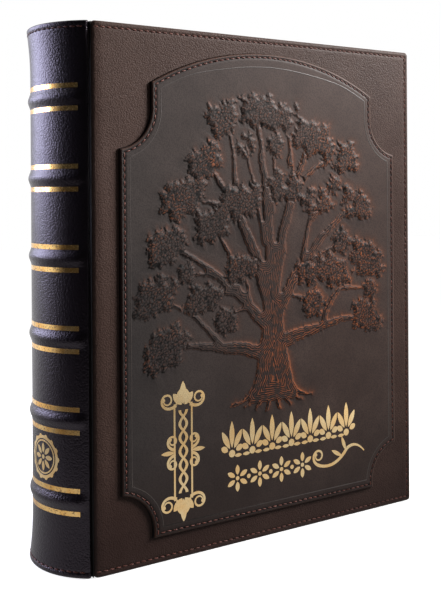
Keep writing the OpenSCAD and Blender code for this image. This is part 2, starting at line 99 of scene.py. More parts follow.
# The covers' leather
EDGE_R = 1.8
CORNER_R = 2.5
TURN_IN_W = 15.0
TURN_IN_T = 0.6
JOINT_ROLL = 1.0
JOINT_ROLL_W = 7.0
WAVE_SEED = 5
STITCH_IN = 3.6
STITCH_PITCH = 4.1
STITCH_SHARE = 0.80
THREAD_R = 0.44
THREAD_FLAT = 0.8
THREAD_RINGS = 7
THREAD_SIDES = 7
HOLE_R = 0.42
HOLE_SIDES = 8

# The spine, as in the solids
SPINE_BULGE = 19.8
CREASE_W = 1.2
CREASE_DEPTH = 3.4
SPINE_CHORD = HALF_T - CREASE_DEPTH
SPINE_SAGITTA = SPINE_BULGE - CREASE_W
SPINE_R = (SPINE_CHORD**2 + SPINE_SAGITTA**2) / (2 * SPINE_SAGITTA)
SPINE_CX = COVER_X + SPINE_R - SPINE_BULGE
SPINE_A = math.asin(SPINE_CHORD / SPINE_R)
LEATHER_T = 1.5
STIFFENER_T = 2.0
CAP_T = 2.0
CAP_R = 1.5
FLARE_OUT = 2.2
FLARE_L = 30.0
FLARE_R = (FLARE_L**2 + FLARE_OUT**2) / (2 * FLARE_OUT)
BAND_Z = [42.9 + 46.7 * k for k in range(6)]
BAND_OUT = 1.5
BAND_HALF = 5.9
SPINE_END_R = 1.7
BLOCK_R = SPINE_R - LEATHER_T - STIFFENER_T - 0.6

# The front panel, as in the solids
PANEL_T = 2.2
PANEL_STITCH_IN = 2.8
ARCH_R = 173.0
NOTCH_R = 24.0
NOTCH_X = PANEL_W / 2 + 3.2
NOTCH_LOW_Z = PANEL_Z0 + 4.5
NOTCH_HIGH_Z = PANEL_Z0 + 254.5
ARCH_Z = PANEL_Z1 - ARCH_R
LIMB_OUT = 0.9
LEAF_OUT = 1.4
LEAF_CELL = 1.85
LEAF_SWIRL = (1.7, 2.4)
LEAF_RAGGED = (1.9, 5.0)
TREE_X = PANEL_CX + 1
TREE_FOOT_Z = 87.0
FORK_Z = 160.0
CROWN_Z = 152.0
CROWN_HALF_W = 83.0
CROWN_RISE = 122.0


# Number helpers

def smoothstep(x, low, high):
    t = np.clip((x - low) / (high - low), 0, 1)
    return t * t * (3 - 2 * t)


def groove(distance, depth, width):
    """The depth of a soft groove at a distance from its middle."""
    return depth * np.exp(-((distance / width) ** 2))


def dense_ends(near, length, count):
    """Grid lines along a length: the given ones near both ends, and even steps between them."""
    middle = np.linspace(near[-1], length - near[-1], count)
    return np.concatenate([near, middle[1:-1], (length - near)[::-1]])


def value_noise(x, y, cell, seed):
    """Smooth noise from 0 to 1 with features of the size of a cell."""
    rng = np.random.RandomState(seed)
    size = 256
    table = rng.rand(size, size)
    gx, gy = np.asarray(x) / cell, np.asarray(y) / cell
    ix, iy = np.floor(gx).astype(int), np.floor(gy).astype(int)
    fx, fy = smoothstep(gx - ix, 0, 1), smoothstep(gy - iy, 0, 1)
    a, b, c, d = [table[(ix + i) % size, (iy + j) % size] for j in (0, 1) for i in (0, 1)]
    return (a * (1 - fx) + b * fx) * (1 - fy) + (c * (1 - fx) + d * fx) * fy


def cells(x, y, cell, seed):
    """A random mosaic: each point's depth in its cell and height on its slant, and the cell's centre."""
    rng = np.random.RandomState(seed)
    size = 256
    offsets = rng.rand(size, size, 2)
    turns = rng.rand(size, size) * 2 * np.pi
    gx, gy = x / cell, y / cell
    ix, iy = np.floor(gx).astype(int), np.floor(gy).astype(int)
    first, second = np.full(x.shape, np.inf), np.full(x.shape, np.inf)
    slant, centre_x, centre_y = np.zeros(x.shape), x.copy(), y.copy()
    for dx, dy in np.ndindex(3, 3):
        jx, jy = ix + dx - 1, iy + dy - 1
        o = offsets[jx % size, jy % size]
        turn = turns[jx % size, jy % size]
        off_x, off_y = gx - jx - o[..., 0], gy - jy - o[..., 1]
        dist = np.hypot(off_x, off_y)
        nearer = dist < first
        slant = np.where(nearer, off_x * np.cos(turn) + off_y * np.sin(turn), slant)
        centre_x = np.where(nearer, (jx + o[..., 0]) * cell, centre_x)
        centre_y = np.where(nearer, (jy + o[..., 1]) * cell, centre_y)
        second = np.minimum(second, np.maximum(first, dist))
        first = np.minimum(first, dist)
    return second - first, slant, centre_x, centre_y


def inside_distance(mask, pitch, reach):
    """Distance of each grid point inside a mask to the mask's edge, up to a reach."""
    steps = int(reach / pitch) + 1
    far = steps + 1.0
    along = np.where(mask, far, 0.0)
    for way in (along, along[:, ::-1]):
        for k in range(1, mask.shape[1]):
            way[:, k] = np.minimum(way[:, k], way[:, k - 1] + 1)
    best = along**2
    for step in range(1, steps + 1):
        for shifted in (np.roll(along, step, 0), np.roll(along, -step, 0)):
            best = np.minimum(best, shifted**2 + step**2)
    return np.minimum(np.sqrt(best) * pitch, reach)


# Mesh helpers

def add_object(name, data):
    obj = bpy.data.objects.new(name, data)
    bpy.context.scene.collection.objects.link(obj)
    return obj


def stand(obj, place, turn):
    obj.location = place
    obj.rotation_mode = "QUATERNION"
    obj.rotation_quaternion = turn


def mesh_object(name, points, faces, material, body=None, smooth=True):
    """A mesh object from points in millimetres, riding on a body of the frame."""
    mesh = bpy.data.meshes.new(name)
    mesh.from_pydata((np.asarray(points, float) * MM).tolist(), [], faces)
    mesh.materials.append(material)
    mesh.polygons.foreach_set("use_smooth", [smooth] * len(mesh.polygons))
    mesh.update()
    obj = add_object(name, mesh)
    if body:
        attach(obj, body)
    return obj


def grid_faces(rows, columns, flip=False):
    """Quads over a grid of points stored row by row."""
    r, c = np.meshgrid(np.arange(rows - 1), np.arange(columns - 1), indexing="ij")
    a = (r * columns + c).ravel()
    quads = np.stack([a, a + 1, a + 1 + columns, a + columns], 1)
    if flip:
        quads = quads[:, ::-1]
    return quads.tolist()


def tube_faces(rings, sides, start=0):
    """The faces of a tube over rings of points, closed at both ends."""
    faces = []
    for i in range(rings - 1):
        for k in range(sides):
            a, b = start + i * sides + k, start + i * sides + (k + 1) % sides
            faces.append([a, b, b + sides, a + sides])
    last = start + (rings - 1) * sides
    return faces + [[start + k for k in range(sides)][::-1], [last + k for k in range(sides)]]


def set_colour_attribute(obj, name, values):
    """Stores a number at each point for the material to read."""
    attribute = obj.data.color_attributes.new(name, "FLOAT_COLOR", "POINT")
    rgba = np.ones((len(values), 4), np.float32)
    rgba[:, :3] = np.asarray(values, np.float32)[:, None]
    attribute.data.foreach_set("color", rgba.ravel())


# Materials

class Nodes:
    """Short calls that build the node tree of a material or the world."""

    def __init__(self, owner, shader="Principled BSDF"):
        owner.use_nodes = True
        self.owner = owner
        self.tree = owner.node_tree
        self.shader = self.tree.nodes[shader]
        self.coordinates = self.add("ShaderNodeTexCoord").outputs
        self.place = self.coordinates["Object"]

    def add(self, kind, inputs=None, **settings):
        """A new node, with values or other nodes' outputs for its inputs."""
        node = self.tree.nodes.new(kind)
        for key, value in settings.items():
            setattr(node, key, value)
        for key, value in (inputs or {}).items():
            self.put(value, node.inputs[key])
        return node

    def put(self, value, socket):
        """Gives a socket a number, a vector, a colour or another node's output."""
        if isinstance(value, (int, float)):
            socket.default_value = value
        elif isinstance(value, tuple):
            socket.default_value = (*value, 1.0)[:len(socket.default_value)]
        else:
            self.tree.links.new(value, socket)

    def set(self, socket, value):
        self.put(value, self.shader.inputs[socket])

    def noise(self, scale, detail=3.0, stretch=(1.0, 1.0, 1.0)):
        place = self.add("ShaderNodeMapping", {"Vector": self.place, "Scale": stretch}).outputs["Vector"]
        inputs = {"Vector": place, "Scale": scale, "Detail": detail}
        return self.add("ShaderNodeTexNoise", inputs).outputs["Fac"]

    def cells(self, size):
        """Distance to the middle of the nearest cell, for cells of a size in millimetres."""
        inputs = {"Vector": self.place, "Scale": 1 / (size * MM)}
        return self.add("ShaderNodeTexVoronoi", inputs).outputs["Distance"]

    def remap(self, value, low, high, out_low=0.0, out_high=1.0, **settings):
        inputs = {"Value": value, "From Min": low, "From Max": high, "To Min": out_low, "To Max": out_high}
        return self.add("ShaderNodeMapRange", inputs, **settings).outputs["Result"]

    def rise(self, value, low, high, least=0.03):
        """A share that rises smoothly from the least to 1 as a value goes from low to high."""
        return self.remap(value, low, high, least, 1.0, interpolation_type="SMOOTHSTEP")

    def math(self, operation, a, b=0.0):
        return self.add("ShaderNodeMath", {0: a, 1: b}, operation=operation).outputs[0]

    def plus(self, a, b):
        return self.math("ADD", a, b)

    def minus(self, a, b):
        return self.math("SUBTRACT", a, b)

    def times(self, a, b):
        return self.math("MULTIPLY", a, b)

    def greater(self, a, b):
        return self.math("MAXIMUM", a, b)

    def mix(self, share, a, b):
        return self.add("ShaderNodeMix", {0: share, 6: a, 7: b}, data_type="RGBA").outputs[2]

    def attribute(self, name):
        return self.add("ShaderNodeAttribute", attribute_name=name).outputs["Fac"]

    def split(self, vector):
        return self.add("ShaderNodeSeparateXYZ", {0: vector}).outputs

    def bump(self, height, strength, distance):
        inputs = {"Height": height, "Strength": strength, "Distance": distance * MM}
        self.set("Normal", self.add("ShaderNodeBump", inputs).outputs["Normal"])

    def coat(self, pattern, span, colours, roughness):
        """Two colours, mixed by a pattern between two of its levels."""
        self.set("Base Color", self.mix(self.remap(pattern, *span), *colours))
        self.set("Roughness", roughness)


def surface(name):
    """The nodes of a new material."""
    return Nodes(bpy.data.materials.new(name))


def dimmed(colour, share):
    return tuple(share * c for c in colour)


def lit_right_and_shaded_foot(n, base, tone, cloud, right, foot):
    """Painted light and shade: a lighter upper right, partly painted light and partly the leather's own tone,
    and a darker foot of painted shade, with cloudy borders.
    """
    place = n.split(n.place)
    slope = n.plus(place["X"], n.times(place["Z"], 0.1))
    across = n.plus(slope, n.times(cloud, 0.05))
    base = n.mix(n.remap(across, -0.06, 0.09), base, n.mix(tone, *right))
    low = n.remap(n.plus(place["Z"], n.times(cloud, 0.04)), 0.035, 0.095)
    return n.mix(low, n.mix(tone, *foot), base)


def burnish_and_painted_light(n, base, dark, tree):
    """The tree's colour where it is rubbed bright and on its painted highlights, lines of bark along its
    limbs, and near-black painted shade.
    """
    spots = n.remap(n.noise(420.0, 3.0), 0.35, 0.65)
    share = n.times(n.attribute("burnish"), n.plus(n.times(spots, 0.5), 0.5))
    turns = n.plus(n.attribute("across"), n.times(n.noise(260.0, 2.0), 1.1))
    wave = n.math("SINE", n.times(turns, 2 * math.pi))
    broken = n.remap(n.noise(330.0, 2.0), 0.42, 0.56)
    bark = n.attribute("bark")
    ridge = n.times(n.remap(wave, 0.35, 0.85), broken)
    crack = n.times(n.remap(wave, -0.05, -0.65), bark)
    off_ridge = n.times(bark, n.minus(1.0, ridge))
    # The near-black of the bark's cracks and of the painted shade.
    hollow = dimmed(dark, 0.12)
    base = n.mix(n.times(share, n.minus(1.0, off_ridge)), base, tree)
    base = n.mix(n.times(crack, 0.82), base, hollow)
    # Painted shade, from the panel's recess attribute.
    return n.mix(n.attribute("recess"), base, hollow)


def leather(name, dark, light, grain=0.5, gloss=0.42, specular=0.5, grain_size=1.0, relief=0.16,
            tree=None, right=None, foot=None, sheen_tint=WHITE):
    """Fine-grained leather. Burnished places take the tree colour, with painted highlights and painted shade.
    Its upper right may be painted lighter and its foot painted darker, as painted light and shade.
    """
    n = surface(name)
    pebbles = n.cells(grain_size)
    fine = n.noise(2.2 / (grain_size * MM), 2.0)
    cloud = n.noise(14.0, 4.0)
    shade = n.plus(n.times(cloud, 0.65), n.times(n.noise(70.0, 3.0), 0.35))
    tone = n.remap(shade, 0.32, 0.68)
    base = n.mix(tone, dark, light)
    # A lighter upper right, partly painted light, and a darker foot of painted shade.
    if foot:
        base = lit_right_and_shaded_foot(n, base, tone, cloud, right or (dark, light), foot)
    creases = n.remap(pebbles, 0.35, 0.75)
    base = n.mix(n.times(creases, 0.35), base, dimmed(dark, 0.45))
    if tree:
        base = burnish_and_painted_light(n, base, dark, tree)
    n.set("Base Color", base)
    n.set("Roughness", n.remap(n.plus(fine, cloud), 0.6, 1.4, gloss - 0.07, gloss + 0.09))
    n.set("Specular IOR Level", specular)
    n.set("Specular Tint", sheen_tint)
    n.bump(n.plus(n.times(pebbles, -1.0), n.times(fine, 0.5)), grain, relief * grain_size)
    return n.owner


def gold_foil(name, pale, deep, wear, gloss):
    """Tooled gold that has sunk into the grain and is rubbed away in specks."""
    n = surface(name)
    specks = n.noise(800.0, 3.0)
    rubbed = n.times(n.remap(specks, 0.54, 0.64), wear)
    base = n.mix(n.remap(n.noise(120.0, 2.0), 0.35, 0.65), deep, pale)
    n.set("Base Color", n.mix(rubbed, base, (0.10, 0.055, 0.03)))
    n.set("Metallic", n.minus(1.0, rubbed))
    n.set("Roughness", n.remap(specks, 0.3, 0.7, gloss, gloss + 0.10))
    n.bump(n.noise(900.0, 2.0), 0.10 + 0.5 * wear, 0.08)
    return n.owner


def thread_material():
    n = surface("sewing_thread")
    twist = n.cells(0.45)
    n.coat(twist, (0.1, 0.6), ((0.24, 0.06, 0.034), (0.07, 0.018, 0.012)), 0.6)
    n.bump(twist, 0.5, 0.1)
    return n.owner


# A near-black disc that stands for the shade inside a needle hole: painted shade.
def hole_shade_material():
    n = surface("needle_hole_shade")
    n.coat(n.noise(2000.0), (0.0, 1.0), ((0.004, 0.003, 0.003), (0.012, 0.008, 0.007)), 0.9)
    n.set("Specular IOR Level", 0.1)
    return n.owner


def paper(name, colour, shadow):
    n = surface(name)
    fibres = n.noise(900.0, 4.0)
    n.coat(n.plus(fibres, n.noise(18.0, 3.0)), (0.7, 1.3), (shadow, colour), 0.85)
    n.set("Specular IOR Level", 0.25)
    n.bump(fibres, 0.2, 0.05)
    return n.owner


def page_edges():
    """The cut edges of the sheets: fine lines across the book's thickness."""
    n = surface("page_edges")
    sheets = n.noise(1.0, 2.0, (6.0, 5200.0, 6.0))
    groups = n.noise(1.0, 1.0, (2.0, 260.0, 2.0))
    roughness = n.remap(groups, 0.3, 0.7, 0.7, 0.9)
    n.coat(sheets, (0.3, 0.7), ((0.50, 0.42, 0.29), (0.80, 0.73, 0.58)), roughness)
    n.set("Specular IOR Level", 0.2)
    n.bump(n.plus(sheets, groups), 0.6, 0.12)
    return n.owner


def fibre_board():
    n = surface("fibre_board")
    fibres = n.noise(600.0, 5.0)
    n.coat(fibres, (0.35, 0.65), ((0.16, 0.13, 0.10), (0.32, 0.27, 0.20)), 0.9)
    n.bump(fibres, 0.4, 0.2)
    return n.owner


def silk(name, colour):
    n = surface(name)
    strands = n.cells(0.35)
    n.coat(strands, (0.1, 0.7), (colour, dimmed(colour, 0.55)), 0.45)
    n.set("Sheen Weight", 0.3)
    n.bump(strands, 0.4, 0.08)
    return n.owner


def woven_cloth():
    n = surface("lining_cloth")
    weave = n.cells(0.6)
    n.coat(weave, (0.2, 0.7), ((0.62, 0.57, 0.46), (0.40, 0.36, 0.28)), 0.9)
    n.bump(weave, 0.5, 0.1)
    return n.owner


# Darker and cooler than the cover leather: partly the spine's own darker leather, partly painted shade and
# the tint of the cool left lamp.
SPINE_LEATHER_AND_SHADE = leather("spine_leather", (0.0034, 0.0018, 0.0030), (0.008, 0.0045, 0.007),
                        grain=1.0, gloss=0.28, specular=0.44, grain_size=1.1, relief=0.15,
                        sheen_tint=(0.98, 0.84, 1.0))
# The darker foot is painted shade.
COVER_LEATHER = leather("cover_leather", (0.054, 0.031, 0.025), (0.086, 0.053, 0.044),
                        grain=0.8, gloss=0.48, specular=0.12, grain_size=0.9, relief=0.2,
                        foot=((0.038, 0.021, 0.018), (0.060, 0.036, 0.031)))
# The lighter upper right is partly painted light and partly the leather's own tone; the darker foot is
# painted shade. The tree colour carries painted highlights and shade.
PANEL_LEATHER = leather("panel_leather", (0.037, 0.0325, 0.032), (0.057, 0.050, 0.0485),
                        grain=0.18, gloss=0.49, specular=0.14, grain_size=0.8, tree=(0.46, 0.125, 0.030),
                        right=((0.056, 0.037, 0.032), (0.096, 0.066, 0.057)),
                        foot=((0.028, 0.019, 0.017), (0.050, 0.036, 0.033)))
# Lighter than the panel leather: a painted highlight on the tooled ridge.
TOOLED_HIGHLIGHT_LEATHER = leather("tooled_leather_highlight", (0.05, 0.04, 0.037), (0.075, 0.062, 0.058),
                         grain=0.1, gloss=0.42, specular=0.3, grain_size=0.8)
# Near-black like the spine leather it continues into the joint groove: partly painted shade.
JOINT_LEATHER = leather("joint_leather", (0.005, 0.004, 0.004), (0.011, 0.008, 0.008),
                        grain=0.4, gloss=0.5, specular=0.2)
GOLD = gold_foil("gold", (1.0, 0.76, 0.42), (1.0, 0.66, 0.30), wear=0.04, gloss=0.16)
GOLD_WORN = gold_foil("gold_on_spine", (0.95, 0.64, 0.26), (0.84, 0.47, 0.14), wear=0.5, gloss=0.15)
THREAD = thread_material()
HOLE_SHADE = hole_shade_material()
ENDPAPER = paper("endpaper", (0.78, 0.70, 0.55), (0.66, 0.58, 0.43))
PAGE_EDGES = page_edges()
BOARD = fibre_board()
RED_SILK = silk("red_silk", (0.26, 0.03, 0.02))
CREAM_SILK = silk("cream_silk", (0.72, 0.60, 0.38))
CLOTH = woven_cloth()


# Stitches

def resample(points):
    """Points along a path at equal steps near the stitches' pitch, with the path's directions there."""
    points = np.asarray(points, float)
    steps = np.linalg.norm(np.diff(points, axis=0), axis=1)
    along = np.concatenate([[0], np.cumsum(steps)])
    count = max(1, round(along[-1] / STITCH_PITCH))
    middles = (np.arange(count) + 0.5) * along[-1] / count
    either_way = 0.3

    def at(distance):
        return np.stack([np.interp(distance, along, points[:, k]) for k in range(3)], 1)

    direction = at(middles + either_way) - at(middles - either_way)
    return at(middles), direction / np.linalg.norm(direction, axis=1)[:, None], along[-1] / count


def ellipse(middle, across, up, half_w, half_h, count):
    """Points of an ellipse round a middle."""
    turns = [2 * math.pi * k / count for k in range(count)]
    return [middle + across * (half_w * math.cos(a)) + up * (half_h * math.sin(a)) for a in turns]


def stitches(name, points, normals, body):
    """A row of stitches along a path: a near-black disc of painted shade for the needle hole between each
    two, and a thread that arches over.
    """
    place, direction, step = resample(points)
    outward = resample_normals(points, normals, place)
    sideways = np.cross(direction, outward)
    length = step * STITCH_SHARE
    lowest, arch, slant = -0.10, 0.30, 0.12
    verts, faces, is_hole = [], [], []
    for p, t, s, n in zip(place, direction, sideways, outward):
        thread = tube_faces(THREAD_RINGS, THREAD_SIDES, len(verts))
        for i in range(THREAD_RINGS):
            u = 2 * i / (THREAD_RINGS - 1) - 1
            thick = THREAD_R * math.sqrt(max(0.06, 1 - u**4))
            middle = p + t * (u * length / 2) + n * (lowest + arch * (1 - u * u)) + s * (slant * u)
            verts += ellipse(middle, s, n, thick, thick * THREAD_FLAT, THREAD_SIDES)
        start = len(verts)
        # The hole is a dark disc just over the leather: painted shade.
        hole = p + t * (step / 2) + n * 0.05
        verts += ellipse(hole, t, s, HOLE_R, HOLE_R, HOLE_SIDES) + [hole + n * 0.04]
        fan = [[start + k, start + (k + 1) % HOLE_SIDES, start + HOLE_SIDES] for k in range(HOLE_SIDES)]
        faces += thread + fan
        is_hole += [0] * len(thread) + [1] * len(fan)
    obj = mesh_object(name, verts, faces, THREAD, body)
    obj.data.materials.append(HOLE_SHADE)
    obj.data.polygons.foreach_set("material_index", is_hole)


def resample_normals(points, normals, places):
    """The normal of the path's nearest point, for each place."""
    points, normals = np.asarray(points), np.asarray(normals)
    nearest = [np.argmin(((points - p) ** 2).sum(1)) for p in places]
    return normals[nearest]


# Covers

def side_y(side, level):
    return MID_Y + side * level


def at_level(side, x, level, z):
    """Points over a cover, at a level on its side."""
    return np.stack(np.broadcast_arrays(x, side_y(side, level), z), -1)


def face_stitches(name, side, x, level, z, body):
    """A row of stitches along a path over a cover's outer face."""
    points = at_level(side, x, level, z)
    stitches(name, points, np.tile([0.0, side, 0.0], (len(points), 1)), body)


def edge_lines(length):
    """Grid lines across a cover: close together at its edges and in its line of stitches."""
    near = np.array([0, 0.15, 0.4, 0.75, 1.2, 1.8, 2.3, 2.7, 3.0, 3.25, 3.5, 3.75, 4.0, 4.3, 4.7,
                     5.4, 7, 9.5])
    return dense_ends(near, length, int(length / 6))


def outline_distance(u, z):
    """Distance of a point of a cover to the cover's outline, positive inside."""
    qu = np.abs(u - COVER_W / 2) - (COVER_W / 2 - CORNER_R)
    qz = np.abs(z - COVER_H / 2) - (COVER_H / 2 - CORNER_R)
    outside = np.hypot(np.maximum(qu, 0), np.maximum(qz, 0))
    return CORNER_R - outside - np.minimum(np.maximum(qu, qz), 0)


def stitch_line_distance(u, z):
    """Distance to the line of stitches along the head, the fore edge and the tail."""
    right, top = COVER_W - STITCH_IN, COVER_H - STITCH_IN
    nearer = np.minimum(np.abs(z - STITCH_IN), np.abs(z - top))
    past = np.maximum(np.maximum(STITCH_IN - z, z - top), 0)
    return np.minimum(np.hypot(np.maximum(u - right, 0), nearer), np.hypot(u - right, past))


def cover_level(side, u, z):
    inside = np.clip(outline_distance(u, z), 0, None)
    short = np.clip(EDGE_R - inside, 0, EDGE_R)
    level = HALF_T - EDGE_R + np.sqrt(EDGE_R**2 - short**2)
    level -= JOINT_ROLL * np.clip(1 - u / JOINT_ROLL_W, 0, 1) ** 2
    line = stitch_line_distance(u, z)
    level -= groove(line, 0.32, 0.75) * smoothstep(inside, 0.5, 2.5)
    level -= 0.10 * (value_noise(u + 40, z, 45, WAVE_SEED + side) - 0.2) * smoothstep(inside, 2, 12)
    return level


def cover_leather(name, side, node, body):
    """A cover's leather: its outer face, rounded edges, and the strip turned in on the inside."""
    us, zs = edge_lines(COVER_W), edge_lines(COVER_H)
    z, u = np.meshgrid(zs, us, indexing="ij")
    centre = np.array([COVER_W / 2, COVER_H / 2])
    half = centre - CORNER_R
    offset = np.stack([u, z], -1) - centre
    corner = np.clip(offset, -half, half)
    reach = np.linalg.norm(offset - corner, axis=-1)
    shrink = np.where(reach > CORNER_R, CORNER_R / np.maximum(reach, 1e-9), 1.0)
    placed = centre + corner + (offset - corner) * shrink[..., None]
    u, z = placed[..., 0], placed[..., 1]
    points = at_level(side, COVER_X + u, cover_level(side, u, z), z).reshape(-1, 3)
    rows, columns = len(zs), len(us)
    faces = grid_faces(rows, columns, flip=side == BACK)
    index = np.arange(rows * columns).reshape(rows, columns)
    loop = np.concatenate([index[0, :-1], index[:-1, -1], index[-1, :0:-1], index[:0:-1, 0]])
    rim = points[loop]
    points = list(points)
    last = loop
    for inset, over in ((0, 0.7), (0.15, 0.25), (0.5, 0), (TURN_IN_W - 0.3, 0), (TURN_IN_W, 0.15),
                        (TURN_IN_W, TURN_IN_T)):
        here = np.arange(len(points), len(points) + len(loop))
        pu = inset + (rim[:, 0] - COVER_X) * (COVER_W - 2 * inset) / COVER_W
        pz = inset + rim[:, 2] * (COVER_H - 2 * inset) / COVER_H
        points += list(at_level(side, COVER_X + pu, TURN_IN_LEVEL + over, pz))
        quads = np.stack([last, here, np.roll(here, -1), np.roll(last, -1)], 1)
        faces += (quads[:, ::-1] if side == BACK else quads).tolist()
        last = here
    obj = mesh_object(name, points, faces, COVER_LEATHER, body)
    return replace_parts(obj, node)


def cover_stitches(name, side, body):
    """The stitches along a cover's head, fore edge and tail."""
    right, top = COVER_W - STITCH_IN, COVER_H - STITCH_IN
    corners = [(0.6, STITCH_IN), (right, STITCH_IN), (right, top), (0.6, top)]
    for k, (a, b) in enumerate(zip(corners, corners[1:])):
        u, z = np.linspace(a, b, 60).T
        face_stitches(f"{name}_{k + 1}", side, COVER_X + u, cover_level(side, u, z), z, body)


# Spine

def spine_radius(z, to_end):
    """Radius of the spine leather's outer face, by height and by distance to the leather's end."""
    z, to_end = np.broadcast_arrays(np.asarray(z, float), np.asarray(to_end, float))
    r = np.full(z.shape, SPINE_R)
    for end in (0.0, COVER_H):
        inside = np.clip(FLARE_L - np.abs(z - end), 0, None)
        r += FLARE_R - np.sqrt(FLARE_R**2 - inside**2)
        corner = np.clip(CAP_R - np.abs(z - end), 0, None)
        r -= CAP_R - np.sqrt(np.clip(CAP_R**2 - corner**2, 0, None))
        r -= groove(np.abs(z - end) - STITCH_IN, 0.34, 0.75)
    for band in BAND_Z:
        d = np.minimum(np.abs(z - band), BAND_HALF)
        r += BAND_OUT * (0.5 + 0.5 * np.cos(np.pi * d / BAND_HALF)) * smoothstep(to_end, -0.5, 8)
    short = np.clip(SPINE_END_R - to_end, 0, SPINE_END_R)
    r -= 0.75 * (SPINE_END_R - np.sqrt(SPINE_END_R**2 - short**2))
    return r


def spine_heights():
    """Heights of the spine's rings: close together on the bands and at the ends."""
    end = np.linspace(0, 6.5, 30)
    bands = [band + np.linspace(-7, 7, 31) for band in BAND_Z]
    z = np.concatenate([end, COVER_H - end, *bands, np.arange(8, COVER_H - 7, 2.0)])
    z = np.unique(np.round(z, 3))
    return z[np.concatenate([[True], np.diff(z) > 0.12])]


def on_spine(radius, angle, z):
    """Points at a radius from the spine's centre line, turned from its middle towards the back cover."""
    x, y = SPINE_CX - radius * np.cos(angle), MID_Y + radius * np.sin(angle)
    return np.stack(np.broadcast_arrays(x, y, z), -1)


def spine_leather():
    """The spine's leather as a closed shell, turned over the stiffener at head and tail."""
    z = spine_heights()
    inner_r, cap_in_r = SPINE_R - LEATHER_T, SPINE_R - LEATHER_T - STIFFENER_T
    head = [(cap_in_r + 0.8, COVER_H), (cap_in_r + 0.2, COVER_H - 0.2), (cap_in_r, COVER_H - 0.8),
            (cap_in_r, COVER_H - CAP_T), (inner_r, COVER_H - CAP_T)]
    tail = [(r, COVER_H - h) for r, h in reversed(head)]
    near = np.array([0, 0.1, 0.3, 0.6, 1.0, 1.4, 1.8, 2.4]) / SPINE_R
    angles = dense_ends(near, 2 * SPINE_A, 110) - SPINE_A
    to_end = (SPINE_A - np.abs(angles)) * SPINE_R
    columns = len(angles)
    outer = spine_radius(z[:, None], to_end[None, :])
    rings = [on_spine(r, angles, h) for r, h in [*zip(outer, z), *head, *tail]]
    rows = len(rings)
    faces = grid_faces(rows, columns, flip=True)
    last = (rows - 1) * columns
    faces += [[last + c, c, c + 1, last + c + 1] for c in range(columns - 1)]
    faces.append([r * columns for r in range(rows)])
    faces.append([r * columns + columns - 1 for r in range(rows)][::-1])
    obj = mesh_object("spine_leather_skin", np.concatenate(rings), faces, SPINE_LEATHER_AND_SHADE, "block")
    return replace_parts(obj, "spine_leather")


def spine_stitches():
    reach = SPINE_A - 0.06
    angles = np.linspace(-reach, reach, 90)
    for name, z in (("head", COVER_H - STITCH_IN), ("tail", STITCH_IN)):
        radius = spine_radius(z, (SPINE_A - np.abs(angles)) * SPINE_R)
        points = on_spine(radius, angles, z)
        normals = np.stack([-np.cos(angles), np.sin(angles), np.zeros(angles.shape)], 1)
        stitches(f"spine_{name}_stitches", points, normals, "block")


# Joints

def across_path(path):
    """Unit vectors to the left of a flat path, at each of its points."""
    ahead = np.gradient(path, axis=0)
    ahead /= np.maximum(np.linalg.norm(ahead, axis=1), 1e-9)[:, None]
    return np.stack([-ahead[:, 1], ahead[:, 0]], 1)


def strip(name, path, material, side, body=None, half_t=0.04):
    """A thin strip as high as the book. Its path is in distance from the cover's edge and in level."""
    path = np.asarray(path, float)
    offset = across_path(path) * half_t
    section = np.concatenate([path + offset, (path - offset)[::-1]])
    count = len(section)
    margin = 0.6
    points = []
    for z in (margin, COVER_H - margin):
        points += [(COVER_X + u, side_y(side, level), z) for u, level in section]
    faces = [[k, (k + 1) % count, (k + 1) % count + count, k + count] for k in range(count)]
    half = count // 2
    for k in range(half - 1):
        quad = [k, k + 1, count - 2 - k, count - 1 - k]
        faces.append(quad[::-1])
        faces.append([v + count for v in quad])
    if side == BACK:
        faces = [f[::-1] for f in faces]
    return mesh_object(name, points, faces, material, body)


def arc(centre, radius, start, end, steps=12):
    a = np.radians(np.linspace(start, end, steps))
    return [(centre[0] + radius * math.cos(t), centre[1] + radius * math.sin(t)) for t in a]


def joint(side, word):
    """The leather outside and the paper inside a joint."""
    wall_u, moving_u = -0.31, -0.06
    top = HALF_T - 1.9
    mouth = [(-CREASE_W, SPINE_CHORD), (-0.9, SPINE_CHORD - 0.5), (-0.55, SPINE_CHORD - 0.7),
             (wall_u, SPINE_CHORD - 0.2), (wall_u, SPINE_CHORD + 0.8), (wall_u, top)]
    strip(f"{word}_joint_groove", mouth, JOINT_LEATHER, side, "block")
    fold = [(wall_u, top - 0.2), (wall_u, top)] + arc((-0.12, top), 0.19, 180, 20) + [(0.02, top + 0.1)]
    hinge = strip(f"{word}_joint_fold", fold, JOINT_LEATHER, side)
    blend_across(hinge)
    paper_top = top - 0.45
    still_u = -0.22
    flyleaf_level = BLOCK_HALF_T + 0.34
    gutter = [(4.5, flyleaf_level), (1.5, flyleaf_level), (0.4, flyleaf_level + 0.02),
              (still_u + 0.05, flyleaf_level + 0.1), (still_u, flyleaf_level + 0.5), (still_u, paper_top)]
    strip(f"{word}_gutter_paper", gutter, ENDPAPER, side, "block", 0.03)
    turn = (still_u + moving_u) / 2
    bend = [(still_u, paper_top - 0.3)] + arc((turn, paper_top), (moving_u - still_u) / 2, 180, 0) + [
        (moving_u, TURN_IN_LEVEL + 0.2), (0.1, TURN_IN_LEVEL - 0.2), (1.2, TURN_IN_LEVEL - 0.23)]
    folded = strip(f"{word}_joint_paper", bend, ENDPAPER, side, None, 0.03)
    blend_across(folded)


def blend_across(obj):
    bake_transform(obj)


# Front panel

def panel_distance(x, z):
    """Distance of a point to the panel's outline, positive inside."""
    u = np.abs(x - PANEL_CX)
    sides = np.minimum(PANEL_W / 2 - u, z - PANEL_Z0)
    arch = ARCH_R - np.hypot(u, z - ARCH_Z)
    low_notch = np.hypot(u - NOTCH_X, z - NOTCH_LOW_Z) - NOTCH_R
    high_notch = np.hypot(u - NOTCH_X, np.minimum(z - NOTCH_HIGH_Z, 0)) - NOTCH_R
    return np.minimum(np.minimum(sides, arch), np.minimum(low_notch, high_notch))


